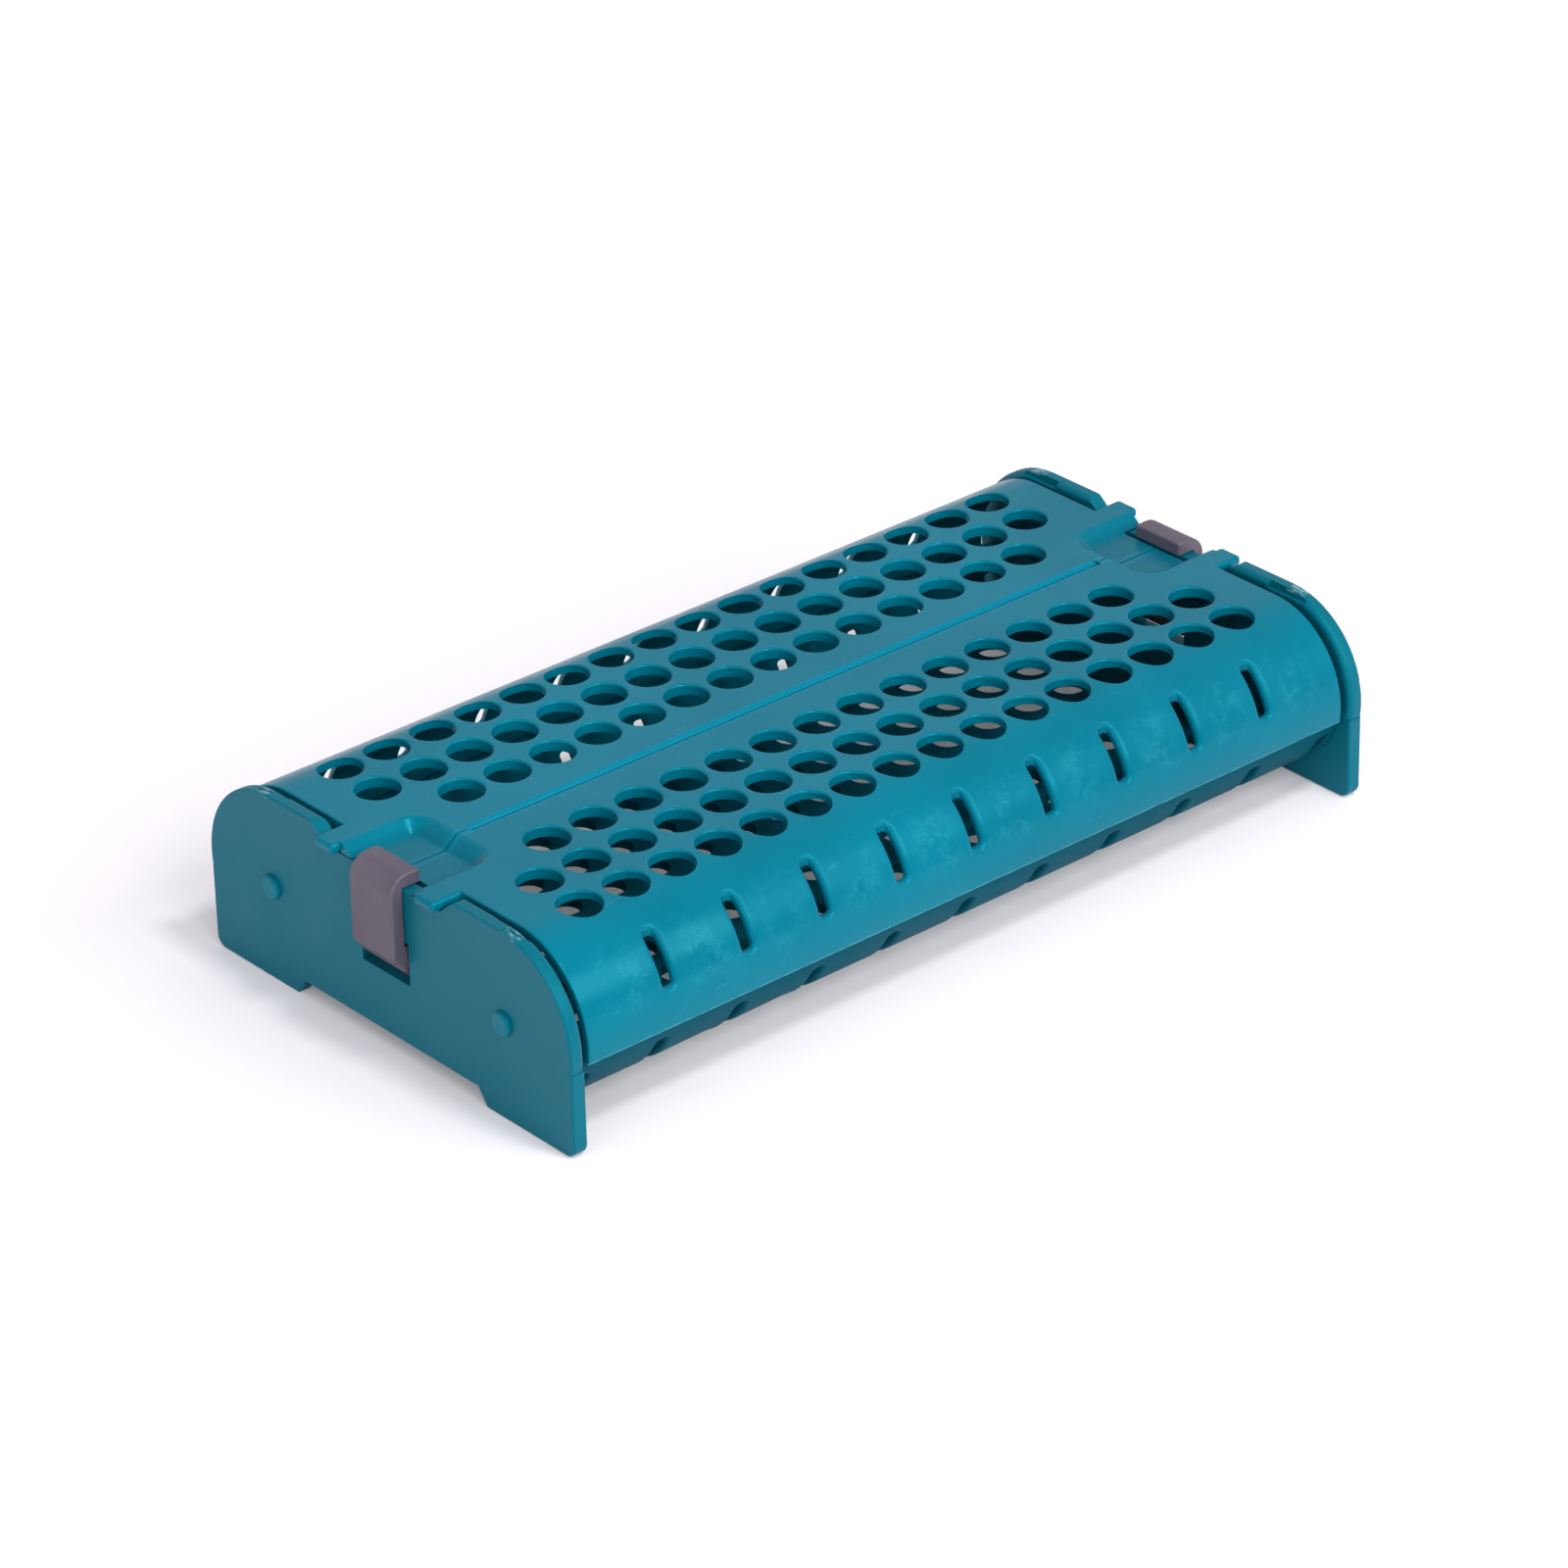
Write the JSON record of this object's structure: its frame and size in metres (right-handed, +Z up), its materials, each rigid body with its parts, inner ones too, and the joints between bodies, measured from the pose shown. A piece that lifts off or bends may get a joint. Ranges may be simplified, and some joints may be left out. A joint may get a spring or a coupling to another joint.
{
  "type": "instrument organizer",
  "caption": "Long perforated plastic cassette with two lids that fold open about the long sides and a swinging latch at each end, for holding hand instruments during washing and sterilising.",
  "frame": {"origin": "on the table, at the bottom centre of the bounding box", "axes": "+X along the length, towards the right end plate; +Y across, from the front lid to the rear lid; +Z up"},
  "size_m": [0.2076, 0.108, 0.0401],
  "materials": {
    "teal_plastic": "moulded teal resin with a soft sheen",
    "gray_plastic": "moulded satin gray resin with a slight mauve tint"
  },
  "bodies": {
    "base": {"base_tray": "teal_plastic", "left_end_plate": "teal_plastic", "right_end_plate": "teal_plastic"},
    "front_lid": {"front_lid": "teal_plastic", "front_left_hinge_pin": "teal_plastic", "front_right_hinge_pin": "teal_plastic"},
    "rear_lid": {"rear_lid": "teal_plastic", "rear_left_hinge_pin": "teal_plastic", "rear_right_hinge_pin": "teal_plastic"},
    "left_latch": {"left_latch": "gray_plastic"},
    "right_latch": {"right_latch": "gray_plastic"}
  },
  "joints": [
    {"name": "front_lid_hinge", "type": "hinge", "parent": "base", "child": "front_lid", "pos_m": [0, -0.0345, 0.0206], "axis": [1, 0, 0], "range_deg": [0, 90]},
    {"name": "rear_lid_hinge", "type": "hinge", "parent": "base", "child": "rear_lid", "pos_m": [0, 0.0345, 0.0206], "axis": [-1, 0, 0], "range_deg": [0, 90]},
    {"name": "left_latch_pivot", "type": "hinge", "parent": "base", "child": "left_latch", "pos_m": [-0.0994, 0, 0.0207], "axis": [0, -1, 0], "range_deg": [0, 60]},
    {"name": "right_latch_pivot", "type": "hinge", "parent": "base", "child": "right_latch", "pos_m": [0.0994, 0, 0.0207], "axis": [0, 1, 0], "range_deg": [0, 60]}
  ]
}
